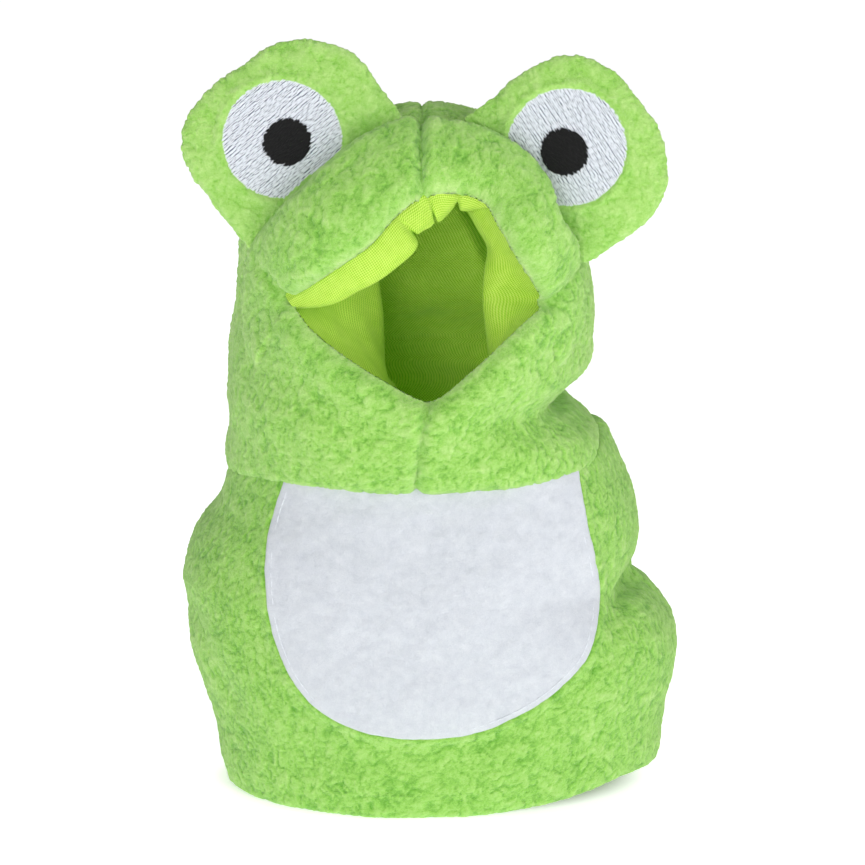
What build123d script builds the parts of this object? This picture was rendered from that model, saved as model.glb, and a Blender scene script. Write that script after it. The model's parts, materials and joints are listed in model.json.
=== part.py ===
from build123d import *

import math
import os

# Frog hand puppet: a pile-fabric hood with a face opening and two padded eyes, sewn to an
# open-ended body sleeve. Millimetres. +Z is up, the face looks along -Y, and the origin is
# at the middle of the hem's footprint, on the surface that the puppet stands on.

# ---------------------------------------------------------------- fabrics
FLEECE = 3.0  # pile fabric of the hood and body
LINING = 0.6  # woven lining
FELT = 1.2  # brushed felt of the belly patch
EMBROIDERY = 0.8  # satin stitches of the eye white
PUPIL_STITCHES = 0.6  # further satin stitches of the pupil
THREAD_RADIUS = 0.3

# ---------------------------------------------------------------- body sleeve
BODY_TOP = 88.0  # upper edge of the sleeve, where the neck seam starts
# height, half width and half depth of the sleeve's outside
BODY_SECTIONS = [
    (0.0, 57.5, 40.0),
    (10.0, 60.0, 42.0),
    (24.0, 63.0, 43.5),
    (45.0, 67.5, 45.0),
    (58.0, 65.0, 44.0),
    (67.0, 57.0, 40.5),
    (73.4, 44.5, 32.5),
    (75.0, 43.0, 31.5),
    (BODY_TOP, 43.0, 31.5),
]
HEM_DEPTH = 12.0  # fleece turned up inside the lower edge
HEM_RISE = 2.0  # how far the turned-up fleece starts above the edge
HEM_STITCH_HEIGHT = 7.0
HEM_STITCHES = 72
HEM_STITCH_LENGTH = 2.6

# ---------------------------------------------------------------- belly patch
PATCH_HALF_WIDTH = 43.0
PATCH_TOP_HALF_WIDTH = 38.5
PATCH_WIDEST = 56.0  # height of the widest point
PATCH_BOTTOM = 24.0
PATCH_TOP = 72.0
PATCH_STITCHES = 46
PATCH_STITCH_INSET = 2.0
PATCH_STITCH_LENGTH = 2.2

# ---------------------------------------------------------------- neck
NECK_PIVOT = 90.0  # height of the nod axis
NECK_RING = (88.6, 92.0)  # lower and upper face of the seam binding
NECK_RING_HALF = (48.8, 38.8)

# ---------------------------------------------------------------- hood
HOOD_BOTTOM = 89.0
HOOD_SECTIONS = [
    (HOOD_BOTTOM, 53.0, 43.0),
    (96.0, 52.0, 43.6),
    (112.0, 50.0, 44.6),
    (140.0, 48.6, 45.0),
]
DOME_BASE = 140.0
DOME_HEIGHT = 49.0
BROW_FRONT = -27.8  # the brow band lies in front of this plane
BROW_BOTTOM = 143.0
BROW_PROUD = 2.5  # folded edge stands proud of the hood

FACE_TOP = 167.5
FACE_TOP_HALF_WIDTH = 10.0
FACE_CORNER = (34.5, 139.5)  # half width and height of the opening's side corners
FACE_POINT = 115.5  # height of the V under the chin
FACE_CORNER_RADIUS = 5.0

# ---------------------------------------------------------------- eyes
# x, height and lean about Y of the seam that holds each eye; the eye pads face -Y
EYES = {
    "left": (-30.0, 171.7, -41.0),
    "right": (29.1, 172.5, 50.0),
}
EYE_SEAM_Y = -24.0
EYE_HALF_WIDTH = 26.0
EYE_BASE_HALF_WIDTH = 23.0
EYE_HEIGHT = 33.0
EYE_CORNER_RADIUS = 20.0
EYE_HALF_THICKNESS = 5.5
EYE_SEAM_RADIUS = 1.0
EYE_FULL_HEIGHT = 12.0  # where the pad reaches its full thickness
EYE_EDGE_SHARE = 0.8  # radius of the rounded top, as a share of the half thickness
EYE_FABRIC = 0.8
EYE_WHITE_RADIUS = 15.7
EYE_WHITE_HEIGHT = 10.0
EYE_PUPIL_RADIUS = 6.0

FAR = 400.0  # larger than the puppet, for half spaces


def half_space(axis, limit, above):
    """A box that fills everything above or below the limit along an axis."""
    middle = limit + (FAR / 2 if above else -FAR / 2)
    centre = Vector(*(middle if name == axis else 0.0 for name in "XYZ"))
    return Pos(centre) * Box(FAR, FAR, FAR)


def halves(shape, axis):
    """The shape cut in two at the origin: the low side, then the high side."""
    return (
        shape & half_space(axis, 0.0, False),
        shape & half_space(axis, 0.0, True),
    )


def ellipse_tube(sections, inset):
    """Solid through the stacked ellipses, each smaller by the inset."""
    outlines = [
        Plane.XY.offset(z) * Ellipse(half_width - inset, half_depth - inset)
        for z, half_width, half_depth in sections
    ]
    return loft(outlines, ruled=True)


def body_axes(height):
    """Half width and half depth of the sleeve's outside at a height."""
    for (z0, a0, b0), (z1, a1, b1) in zip(BODY_SECTIONS, BODY_SECTIONS[1:]):
        if z0 <= height <= z1:
            share = (height - z0) / (z1 - z0)
            return a0 + share * (a1 - a0), b0 + share * (b1 - b0)
    raise ValueError(f"{height} is outside the sleeve")


def body_form(inset):
    return ellipse_tube(BODY_SECTIONS, inset)


def hood_form(inset):
    """Closed hood: an oval tube under half an ellipsoid."""
    _, half_width, half_depth = HOOD_SECTIONS[-1]
    radii = (half_width - inset, half_depth - inset, DOME_HEIGHT - inset)
    dome = Pos(0, 0, DOME_BASE) * scale(Sphere(1), by=radii)
    return ellipse_tube(HOOD_SECTIONS, inset) + (dome & half_space("Z", DOME_BASE, True))


def face_opening():
    """Prism along Y through the front of the hood, in the outline of the face opening."""
    corner_x, corner_z = FACE_CORNER
    right = [(0, FACE_POINT), (corner_x, corner_z), (FACE_TOP_HALF_WIDTH, FACE_TOP)]
    left = [(-x, z) for x, z in reversed(right[1:])]
    outline = make_face(Polyline(*right, *left, close=True))
    outline = fillet(outline.vertices(), FACE_CORNER_RADIUS)
    front = Plane(origin=(0, 0, 0), x_dir=(1, 0, 0), z_dir=(0, -1, 0))
    return extrude(front * outline, FAR)


# ---------------------------------------------------------------- body sub-parts
def body_panels():
    """Front and back fleece panels, meeting at the side seams."""
    return halves(body_form(0) - body_form(FLEECE), "Y")


def body_linings():
    start = HEM_RISE + HEM_DEPTH
    shell = body_form(FLEECE) - body_form(FLEECE + LINING)
    return halves(shell & half_space("Z", start, True), "Y")


def hem_facing():
    """Fleece turned up inside the lower edge."""
    ring = body_form(FLEECE) - body_form(FLEECE + FLEECE / 2)
    ring = ring & half_space("Z", HEM_RISE, True)
    return ring & half_space("Z", HEM_RISE + HEM_DEPTH, False)


def patch_half_outline(inset):
    """Right-hand edge of the belly patch, from its top corner to its lowest point."""
    top = (PATCH_TOP_HALF_WIDTH - inset, PATCH_TOP)
    widest = (PATCH_HALF_WIDTH - inset, PATCH_WIDEST)
    bottom = (0, PATCH_BOTTOM + inset)
    side = TangentArc(widest, top, tangent=(0, 1))
    round_end = EllipticalCenterArc(
        (0, PATCH_WIDEST), widest[0], PATCH_WIDEST - bottom[1], start_angle=270, arc_size=90
    )
    return side, round_end


def belly_patch():
    side, round_end = patch_half_outline(0)
    right = [side, round_end]
    left = [mirror(edge, about=Plane.YZ) for edge in right]
    top = Line(left[0] @ 1, right[0] @ 1)
    front = Plane(origin=(0, 0, 0), x_dir=(1, 0, 0), z_dir=(0, -1, 0))
    prism = extrude(front * make_face([*right, *left, top]), 2 * PATCH_TOP)
    layer = body_form(-FELT) - body_form(0)
    return layer & prism & half_space("Y", 0.0, False)


def stitch(position, heading, length):
    """One visible stitch: a short straight length of thread."""
    thread = Cylinder(THREAD_RADIUS, length)
    return Plane(origin=position, z_dir=heading) * thread


def hem_stitching():
    """Running stitches round the hem, lying on the fleece."""
    half_width, half_depth = body_axes(HEM_STITCH_HEIGHT)
    lift = 2 * THREAD_RADIUS
    stitches = []
    for i in range(HEM_STITCHES):
        angle = 2 * math.pi * (i + 0.5) / HEM_STITCHES
        x = (half_width + lift) * math.cos(angle)
        y = (half_depth + lift) * math.sin(angle)
        heading = (-half_width * math.sin(angle), half_depth * math.cos(angle), 0)
        stitches.append(stitch((x, y, HEM_STITCH_HEIGHT), heading, HEM_STITCH_LENGTH))
    return Compound(children=stitches)


def on_belly(x, height, lift):
    """Point in front of the sleeve, the given distance off its outside."""
    half_width, half_depth = (axis + lift for axis in body_axes(height))
    return Vector(x, -half_depth * math.sqrt(1 - (x / half_width) ** 2), height)


def patch_stitching():
    """Running stitches just inside the edge of the belly patch."""
    side, round_end = patch_half_outline(PATCH_STITCH_INSET)
    per_half = PATCH_STITCHES // 2
    run = side.length + round_end.length
    lift = FELT + 2 * THREAD_RADIUS
    stitches = []
    for i in range(per_half):
        along = run * (i + 0.5) / per_half
        if along < round_end.length:
            edge, share = round_end, along / round_end.length
        else:
            edge, share = side, (along - round_end.length) / side.length
        spot, slope = edge @ share, edge % share
        for sign in (1, -1):
            place = on_belly(sign * spot.X, spot.Y, lift)
            ahead = on_belly(sign * (spot.X + slope.X), spot.Y + slope.Y, lift)
            stitches.append(stitch(place, ahead - place, PATCH_STITCH_LENGTH))
    return Compound(children=stitches)


# ---------------------------------------------------------------- neck and hood sub-parts
def neck_seam_binding():
    """Bound seam allowance of the neck, a flat oval ring over the sleeve's top edge."""
    low, high = NECK_RING
    _, half_width, half_depth = BODY_SECTIONS[-1]
    wall = FLEECE + LINING
    outer = Ellipse(*NECK_RING_HALF)
    inner = Ellipse(half_width - wall, half_depth - wall)
    return Pos(0, 0, low) * extrude(outer - inner, high - low)


def brow_region():
    return half_space("Y", BROW_FRONT, False) & half_space("Z", BROW_BOTTOM, True)


def hood_panels(opening):
    shell = hood_form(0) - hood_form(FLEECE) - brow_region() - opening
    return halves(shell, "X")


def brow_bands(opening):
    band = (hood_form(-BROW_PROUD) - hood_form(FLEECE)) & brow_region()
    return halves(band - opening, "X")


def hood_linings(opening):
    shell = hood_form(FLEECE) - hood_form(FLEECE + LINING) - opening
    return halves(shell, "X")


# ---------------------------------------------------------------- eyes
def eye_pad(inset):
    """Padded eye in its own frame: X along its seam, -Y its face, Z away from the seam."""
    corner = EYE_CORNER_RADIUS - inset
    high = EYE_HEIGHT - inset
    wide = EYE_HALF_WIDTH - inset
    low = -EYE_SEAM_RADIUS + inset
    front = Plane.XZ * make_face(
        Polyline(
            (-EYE_BASE_HALF_WIDTH + inset, low),
            (EYE_BASE_HALF_WIDTH - inset, low),
            (wide, EYE_FULL_HEIGHT),
            (wide, high),
            (-wide, high),
            (-wide, EYE_FULL_HEIGHT),
            close=True,
        )
    )
    front = extrude(front, FAR / 2, both=True)
    upright = front.edges().filter_by(Axis.Y).group_by(Axis.Z)[-1]
    front = fillet(upright, corner)

    thick = EYE_HALF_THICKNESS - inset
    thin = EYE_SEAM_RADIUS - inset
    side = Plane.YZ * make_face(
        Polyline(
            (-thin, low),
            (thin, low),
            (thick, EYE_FULL_HEIGHT),
            (thick, high),
            (-thick, high),
            (-thick, EYE_FULL_HEIGHT),
            close=True,
        )
    )
    side = extrude(side, FAR / 2, both=True)
    top = side.edges().filter_by(Axis.X).group_by(Axis.Z)[-1]
    side = fillet(top, thick * EYE_EDGE_SHARE)
    return front & side


def eye_sub_parts():
    """Front and back fabric, stuffing, embroidered white and pupil, in the eye's own frame."""
    outer, inner = eye_pad(0), eye_pad(EYE_FABRIC)
    front_fabric, back_fabric = halves(outer - inner, "Y")
    above_seam = half_space("Z", EYE_SEAM_RADIUS, True) & half_space("Y", 0.0, False)
    white_layer = (eye_pad(-EMBROIDERY) - outer) & above_seam
    pupil_layer = (eye_pad(-EMBROIDERY - PUPIL_STITCHES) - eye_pad(-EMBROIDERY)) & above_seam
    centre = Pos(0, 0, EYE_WHITE_HEIGHT) * Rot(90, 0, 0)
    return {
        "front": front_fabric,
        "back": back_fabric,
        "stuffing": inner,
        "white": white_layer & (centre * Cylinder(EYE_WHITE_RADIUS, FAR)),
        "pupil": pupil_layer & (centre * Cylinder(EYE_PUPIL_RADIUS, FAR)),
    }


def build():
    """Every sub-part of the puppet by its node's name."""
    opening = face_opening()
    body_front, body_back = body_panels()
    body_lining_front, body_lining_back = body_linings()
    hood_left, hood_right = hood_panels(opening)
    brow_left, brow_right = brow_bands(opening)
    lining_left, lining_right = hood_linings(opening)
    parts = {
        "body_front_panel": body_front,
        "body_back_panel": body_back,
        "body_lining_front": body_lining_front,
        "body_lining_back": body_lining_back,
        "hem_facing": hem_facing(),
        "hem_stitching": hem_stitching(),
        "belly_patch": belly_patch(),
        "belly_patch_stitching": patch_stitching(),
        "neck_seam_binding": neck_seam_binding(),
        "hood_left_panel": hood_left,
        "hood_right_panel": hood_right,
        "brow_band_left": brow_left,
        "brow_band_right": brow_right,
        "hood_lining_left": lining_left,
        "hood_lining_right": lining_right,
    }
    eye = eye_sub_parts()
    for side, (x, height, lean) in EYES.items():
        place = Pos(x, EYE_SEAM_Y, height) * Rot(0, lean, 0)
        for name, shape in eye.items():
            parts[f"eye_{side}_{name}"] = place * shape
    return parts


os.makedirs("parts", exist_ok=True)
for node, shape in build().items():
    export_step(shape, f"parts/{node}.step")
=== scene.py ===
"""Looks of the frog hand puppet: curly pile fabric, woven lining, felt patch and embroidered, padded eyes.

Shapes are worked out in millimetres in the row frame: +Z up, the face looks along -Y. Angles round the
puppet are 0 at the front and grow towards +X.
"""

import json
import math
from itertools import product

import bpy
import numpy as np
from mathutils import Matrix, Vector
from mathutils.bvhtree import BVHTree
from mathutils.geometry import delaunay_2d_cdt


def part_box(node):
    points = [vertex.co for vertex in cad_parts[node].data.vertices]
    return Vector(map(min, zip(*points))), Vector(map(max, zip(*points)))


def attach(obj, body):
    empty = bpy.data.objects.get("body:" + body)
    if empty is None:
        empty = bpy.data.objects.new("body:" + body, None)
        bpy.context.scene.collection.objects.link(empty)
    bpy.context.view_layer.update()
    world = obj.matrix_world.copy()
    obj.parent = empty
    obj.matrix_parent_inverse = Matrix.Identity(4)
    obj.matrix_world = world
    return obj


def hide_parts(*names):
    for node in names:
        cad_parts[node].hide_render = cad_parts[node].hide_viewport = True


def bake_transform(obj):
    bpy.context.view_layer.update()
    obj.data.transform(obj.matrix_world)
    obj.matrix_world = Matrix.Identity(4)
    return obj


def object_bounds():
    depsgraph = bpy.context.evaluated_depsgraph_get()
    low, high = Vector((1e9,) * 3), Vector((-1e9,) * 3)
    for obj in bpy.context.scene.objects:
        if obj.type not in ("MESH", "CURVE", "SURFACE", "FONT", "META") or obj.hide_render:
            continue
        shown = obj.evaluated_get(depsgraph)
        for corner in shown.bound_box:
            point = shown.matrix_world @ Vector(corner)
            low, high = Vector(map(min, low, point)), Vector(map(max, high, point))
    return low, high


MM = 0.001

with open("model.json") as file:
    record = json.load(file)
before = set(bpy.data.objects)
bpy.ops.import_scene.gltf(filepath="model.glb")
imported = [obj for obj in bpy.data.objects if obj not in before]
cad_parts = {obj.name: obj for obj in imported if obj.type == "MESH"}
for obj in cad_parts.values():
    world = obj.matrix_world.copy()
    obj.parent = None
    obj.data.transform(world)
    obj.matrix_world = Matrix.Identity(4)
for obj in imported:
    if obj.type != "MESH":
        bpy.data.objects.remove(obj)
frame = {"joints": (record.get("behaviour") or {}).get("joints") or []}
cad_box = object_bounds()
rng = np.random.default_rng(11)

# ---- places read from the frame
JOINTS = {j["name"]: j for j in frame["joints"]}
NECK_HEIGHT = JOINTS["neck_nod"]["pos_m"][2] / MM
HOOD_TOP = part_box("hood_left_panel")[1].z / MM

# ---- fabrics
GRID = 0.5  # spacing of the fleece mesh
PILE, PILE_MIDDLE = 1.5, 0.45  # height of the curls, and the share of it that lies at the fabric's surface
RIM_RADIUS, RIM_DEPTH = 3.6, 2.6  # rounding of the fleece at the face opening
SEAM_RADIUS, SEAM_DEPTH = 3.0, 0.8  # rounding of the fleece at the neck seam
HEM_RADIUS, HEM_TURNED = 2.0, 12.5  # rounding of the hem, and how far up its fleece is turned inside
WEAVE = 0.8  # two threads of the lining, in each direction
WALL = 4.6  # from the fleece's outside to the lining
OVAL_POWER = 2.3  # how square the hood's oval is
BODY_STEPS, HOOD_STEPS = 380, 300  # girths that set the number of columns of the body and the hood

# ---- body: height, left, right, front, back
BODY_SIZES = [
    (0.0, 54.5, 57.5, 39.0, 39.0),
    (9.0, 56.8, 63.2, 40.5, 40.8),
    (17.0, 58.2, 64.4, 41.5, 41.8),
    (25.0, 60.6, 65.2, 42.5, 42.8),
    (33.0, 63.0, 67.2, 43.3, 43.6),
    (41.0, 65.0, 68.0, 43.6, 44.0),
    (46.0, 65.0, 66.4, 43.6, 44.0),
    (50.0, 65.0, 63.6, 43.5, 44.0),
    (54.5, 65.4, 59.6, 43.4, 44.0),
    (58.5, 66.2, 55.6, 43.2, 43.8),
    (63.0, 65.4, 55.4, 43.0, 43.5),
    (71.0, 62.8, 56.4, 42.2, 42.4),
    (79.5, 57.0, 55.0, 41.3, 40.8),
    (88.0, 53.8, 52.2, 40.3, 39.2),
    (96.0, 51.0, 48.8, 39.5, 38.5),
    (104.0, 48.5, 45.0, 39.0, 38.0),
]
BODY_POWER = 2.4  # how square the body's oval is
# height of the hem and of the neck seam by angle, in degrees
HEM_HEIGHT = [(-180, 0.3), (-90, 1.4), (-50, 0.9), (-15, 0.3), (15, 0.8), (32, 3.6), (50, 6.9),
              (75, 6.9), (100, 4.5), (135, 1.0), (180, 0.3)]
NECK_SEAM = [(-180, 91), (-135, 89.5), (-90, 88), (-45, 90.4), (-20, 90), (0, 89.8), (25, 90.8), (40, 91.6),
             (55, 93.4), (90, 100), (120, 97), (180, 91)]

# ---- hood: height, left, right, front, back
HOOD_SIZES = [
    (84.0, 53.0, 50.0, 40.5, 38.0),
    (88.0, 53.8, 49.4, 42.0, 38.7),
    (92.0, 54.6, 48.8, 43.6, 39.6),
    (96.0, 54.2, 47.4, 45.2, 40.5),
    (100.0, 53.6, 45.0, 46.2, 41.3),
    (104.4, 53.6, 39.4, 46.8, 42.0),
    (108.6, 53.8, 34.8, 47.0, 42.7),
    (112.8, 53.6, 37.2, 47.0, 43.2),
    (117.0, 53.3, 41.6, 46.9, 43.7),
    (125.0, 52.6, 43.6, 46.9, 44.2),
    (134.0, 50.9, 44.2, 47.6, 44.8),
    (142.0, 50.1, 42.6, 48.4, 45.0),
    (146.0, 49.3, 41.4, 49.0, 45.0),
]
DOME_BASE = HOOD_SIZES[-1][0]
DOME_RISE = HOOD_TOP - DOME_BASE - 3.6

# edge of the face opening as (x, height), from its left corner to its right one
OPENING_TOP = [(-37.0, 139.6), (-32.8, 142.6), (-25.0, 148.6), (-14.7, 156.3), (-7.0, 164.2),
               (-0.5, 168.2), (6.0, 169.0), (11.0, 168.4), (15.8, 165.8), (18.6, 160.8), (22.2, 154.2),
               (27.4, 145.8), (31.4, 139.0)]
OPENING_FOOT = [(-37.0, 139.6), (-31.5, 133.9), (-22.4, 127.1), (-12.2, 121.2), (-3.0, 116.3), (0.1, 115.2),
                (3.2, 116.6), (10.8, 122.5), (21.0, 130.8), (27.8, 136.6), (31.4, 139.0)]
# along the brow from left to right: distance of its crest from the opening, and how far it stands out
BROW = [(0.0, 17.0, 1.6), (0.1, 19.0, 3.6), (0.22, 20.0, 5.4), (0.35, 20.0, 6.2), (0.5, 18.5, 6.8),
        (0.65, 15.0, 6.8), (0.8, 13.0, 5.6), (0.92, 14.0, 4.0), (1.0, 14.0, 1.6)]
# outline of the brow's section: share of the crest's distance, share of its height
BROW_SECTION = [(0.0, 0.0), (0.15, 0.34), (0.4, 0.74), (0.75, 1.0), (1.0, 1.0), (1.13, 0.62), (1.28, -0.22),
                (1.42, -0.2), (1.65, 0.0), (3.0, 0.0), (40.0, 0.0)]
BROW_END = 1.3  # share of the crest's distance where the brow's seam lies
SEAM_X = -1.6  # the centre seam over the brow and the crown
SIDE_FOLD = 108.4  # height of the fold on the hood's right side, above the shoulder
# centre seams under the chin and over the brow: line as (x, height), depth and width
CENTRE_SEAMS = [
    ([(0.1, 115.4), (-1.5, 104), (-3.4, 90)], 60, 1.5, 1.1),
    ([(-1.3, 168), (SEAM_X, 174), (SEAM_X, 181.5)], 50, 2.4, 1.2),
]
# creases where the brow goes in behind each cheek
CHEEK_CREASES = [[(-36.5, 139.8), (-40.5, 145), (-44, 150)], [(31, 139.2), (35.5, 143.5), (39, 148)]]
# valleys between the body's bulges: line as (x, y, height), depth and width
BODY_VALLEYS = [
    ([(57, -5, 60), (51, -20, 57), (47.5, -27, 51), (47, -29, 44)], 3.4, 3.6),
    ([(-60, -14, 52), (-56, -24, 40), (-52, -27, 30)], 1.2, 4.0),
    ([(56, 10, 60), (44, 30, 56)], 3.0, 4.0),
]

# ---- belly patch outline, (x, height)
PATCH = [(-37.2, 91.6), (-40.5, 82.0), (-42.3, 70.4), (-42.2, 62.0), (-41.2, 54.3), (-38.9, 46.4),
         (-35.8, 39.8), (-31.0, 33.6), (-20.5, 27.2), (-12.0, 25.0), (-2.1, 24.2), (11.0, 25.3),
         (24.2, 30.1), (34.8, 37.2), (42.2, 45.5), (44.5, 53.0), (45.0, 61.7), (43.8, 70.0),
         (42.2, 77.0), (40.2, 86.0), (38.8, 93.6)]
PATCH_MIDDLE = np.array([1.0, 60.0])
FELT_THICKNESS = 1.25

# ---- eyes, in each eye's own frame
# outline as (along the seam, away from the seam)
EYE_OUTLINES = {
    "left": [(-24.6, -7), (-24.8, -2), (-24.2, 11), (-22.6, 23), (-17.8, 29.3), (-10, 32.2), (4, 31.9),
             (16, 29.4), (24.6, 21.6), (27.6, 13), (27, 4.5), (25.6, -7)],
    "right": [(-22, -7), (-21.6, 0), (-21.3, 12), (-17.6, 23.6), (-10.5, 28.5), (3, 30.2), (14.4, 28.2),
              (23.8, 21.8), (27.8, 14), (27.4, 4), (26, -7)],
}
EYE_WHITE = {"left": (0.0, 11.1), "right": (0.0, 8.6)}  # centre of the white
EYE_PUPIL = {"left": (0.6, 10.0), "right": (0.4, 7.4)}  # centre of the pupil
WHITE_RADIUS, PUPIL_RADIUS = 15.6, 5.8
STITCH_TURN = {"left": 0.0, "right": -6.0}  # the stitches' direction from the seam's, in degrees
EYE_MIDDLE, DRAWN_IN = np.array([0.0, 8.0]), 1.045  # the cut shape is larger than the filled one
PAD_PRESSURE, PAD_CAP, PAD_FRAMES = 2.2, 4.0, 18  # filling of the pads; no point moves further than the cap


# ---- small helpers
def hermite(x, table):
    """Smooth curve through the table's rows, read at x. Every column after the first is a value."""
    rows = np.asarray(table, float)
    xs, values = rows[:, 0], rows[:, 1:]
    slopes = np.gradient(values, xs, axis=0)
    x = np.clip(np.asarray(x, float), xs[0], xs[-1])
    i = np.clip(np.searchsorted(xs, x, side="right") - 1, 0, len(xs) - 2)
    h = (xs[i + 1] - xs[i])[..., None]
    u = ((x - xs[i])[..., None]) / h
    a, b, ma, mb = values[i], values[i + 1], slopes[i] * h, slopes[i + 1] * h
    found = (2 * u**3 - 3 * u**2 + 1) * a + (u**3 - 2 * u**2 + u) * ma
    found += (3 * u**2 - 2 * u**3) * b + (u**3 - u**2) * mb
    return found[..., 0] if values.shape[1] == 1 else found


def line_through(points, count):
    """Evenly spaced points along a smooth line through the given ones."""
    points = np.asarray(points, float)
    along = np.concatenate([[0], np.cumsum(np.linalg.norm(np.diff(points, axis=0), axis=1))])
    table = np.column_stack([along, points])
    fine = hermite(np.linspace(0, along[-1], 40 * len(points)), table)
    along = np.concatenate([[0], np.cumsum(np.linalg.norm(np.diff(fine, axis=0), axis=1))])
    wanted = np.linspace(0, along[-1], count)
    return np.column_stack([np.interp(wanted, along, fine[:, k]) for k in range(points.shape[1])])


GRADIENTS = rng.normal(size=(256, 3))
GRADIENTS /= np.linalg.norm(GRADIENTS, axis=1)[:, None]


def noise(points, size, seed=0):
    """Gradient noise, about -1 to 1, with features of the given size."""
    p = np.asarray(points, float).reshape(-1, 3) / size + 31.7 * seed
    cell = np.floor(p).astype(np.int64)
    f = p - cell
    ease = f**3 * (f * (f * 6 - 15) + 10)
    total = np.zeros(len(p))
    for corner in product((0, 1), repeat=3):
        c = cell + np.array(corner)
        h = c[:, 0] * 374761393 + c[:, 1] * 668265263 + c[:, 2] * 1274126177
        h = (h ^ (h >> 13)) * 1103515245
        pull = GRADIENTS[((h ^ (h >> 16)) & 255)]
        weight = np.prod(np.where(corner, ease, 1 - ease), axis=1)
        total += weight * np.sum(pull * (f - np.array(corner)), axis=1)
    return (1.7 * total).reshape(np.shape(points)[:-1])


def pile_height(points):
    """Curly pile at the points: 1 on top of a curl, 0 in the short creases that wind between them."""
    bend = np.stack([noise(points, 2.4, s) for s in (1, 2, 3)], axis=-1)
    lumps = 0.5 + 0.5 * noise(points, 4.2, 6)
    curls = np.clip(np.abs(noise(points + 0.9 * bend, 3.1, 4)) * 3.2, 0, 1)
    small = np.clip(np.abs(noise(points + 0.5 * bend, 1.7, 5)) * 3.0, 0, 1)
    broken = ramp(noise(points, 4.6, 7), -0.35, 0.3)
    fluff = 0.5 + 0.5 * noise(points, 0.95, 10)
    height = 0.3 * lumps + 0.3 * (1 - (1 - curls) * (0.35 + 0.65 * broken))
    height += 0.22 * (1 - (1 - small) * (1 - 0.5 * broken))
    return np.clip(height + 0.24 * fluff, 0, 1)


def oval(angle, sizes, power=OVAL_POWER):
    """x and y of a rounded oval; sizes are its left, right, front and back extents."""
    s, c = np.sin(angle), np.cos(angle)
    x = np.where(s > 0, sizes[..., 1], sizes[..., 0]) * np.sign(s) * np.abs(s) ** (2 / power)
    y = -np.where(c > 0, sizes[..., 2], sizes[..., 3]) * np.sign(c) * np.abs(c) ** (2 / power)
    return x, y


def front_y(x, sizes, power=OVAL_POWER):
    """y on the front of the oval at x."""
    wide = np.where(x > 0, sizes[..., 1], sizes[..., 0])
    return -sizes[..., 2] * (1 - np.clip(np.abs(x) / wide, 0, 1) ** power) ** (1 / power)


def grid_normals(points, wrap=True):
    """Outward unit normals of a grid of points, rows going up and columns going towards +X at the front."""
    if wrap:
        across = np.roll(points, -1, axis=1) - np.roll(points, 1, axis=1)
    else:
        across = np.gradient(points, axis=1)
    up = np.gradient(points, axis=0)
    normals = np.cross(across, up)
    return normals / np.maximum(np.linalg.norm(normals, axis=-1, keepdims=True), 1e-9)


def grid_quads(rows, cols, wrap=True):
    """Faces of a grid of points; with wrap, its last column joins its first."""
    r, c = np.meshgrid(np.arange(rows - 1), np.arange(cols if wrap else cols - 1), indexing="ij")
    after = (c + 1) % cols
    quads = np.stack([r * cols + c, r * cols + after, (r + 1) * cols + after, (r + 1) * cols + c], axis=-1)
    return quads.reshape(-1, 4)


def nearest(points, line):
    """Distance from each point to the nearest of the line's points, and that one's index."""
    best, index = np.full(len(points), 1e9), np.zeros(len(points), int)
    for k, spot in enumerate(line):
        d = np.sum((points - spot) ** 2, axis=1)
        closer = d < best
        best[closer], index[closer] = d[closer], k
    return np.sqrt(best), index


def inside(x, z, outline):
    """Whether each (x, z) lies inside the closed outline."""
    found = np.zeros(len(x), bool)
    for (x0, z0), (x1, z1) in zip(outline, np.roll(outline, -1, axis=0)):
        if z0 == z1:
            continue
        crosses = (z0 > z) != (z1 > z)
        found ^= crosses & (x < (x1 - x0) * (z - z0) / (z1 - z0) + x0)
    return found


def rounding(distance, radius, depth=None):
    """How far a rolled edge turns in: its whole depth at the edge, nothing past the radius."""
    left = 1 - np.clip(distance / radius, 0, 1)
    return (radius if depth is None else depth) * (1 - np.sqrt(1 - left**2))


def groove(distance, width):
    """1 at no distance, falling smoothly to nothing within about two widths."""
    return np.exp(-((distance / width) ** 2))


def ramp(x, low, high):
    """0 below low, 1 above high, smooth between."""
    t = np.clip((x - low) / (high - low), 0, 1)
    return t * t * (3 - 2 * t)


# ---- materials
def new_material(name):
    material = bpy.data.materials.new(name)
    material.use_nodes = True
    tree = material.node_tree
    tree.nodes.clear()
    return material, tree


def node(tree, kind, inputs=None, **settings):
    """A new node; inputs maps a socket's name or number to a value or to another node's output."""
    made = tree.nodes.new(kind)
    for key, value in settings.items():
        setattr(made, key, value)
    for key, value in (inputs or {}).items():
        if isinstance(value, bpy.types.NodeSocket):
            tree.links.new(value, made.inputs[key])
        else:
            made.inputs[key].default_value = value
    return made


def colour_ramp(tree, factor, stops):
    made = node(tree, "ShaderNodeValToRGB", {"Fac": factor})
    elements = made.color_ramp.elements
    while len(elements) < len(stops):
        elements.new(0.5)
    for element, (position, colour) in zip(elements, stops):
        element.position, element.color = position, (*colour, 1)
    return made.outputs["Color"]


def srgb(r, g, b):
    """Linear colour of an 8-bit sRGB one."""
    return tuple((v / 255 / 12.92) if v <= 10 else ((v / 255 + 0.055) / 1.055) ** 2.4 for v in (r, g, b))


def maths(tree, operation, a, b=0.0, c=0.0):
    return node(tree, "ShaderNodeMath", {0: a, 1: b, 2: c}, operation=operation).outputs[0]


def attribute(tree, name, socket):
    return node(tree, "ShaderNodeAttribute", attribute_name=name).outputs[socket]


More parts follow.
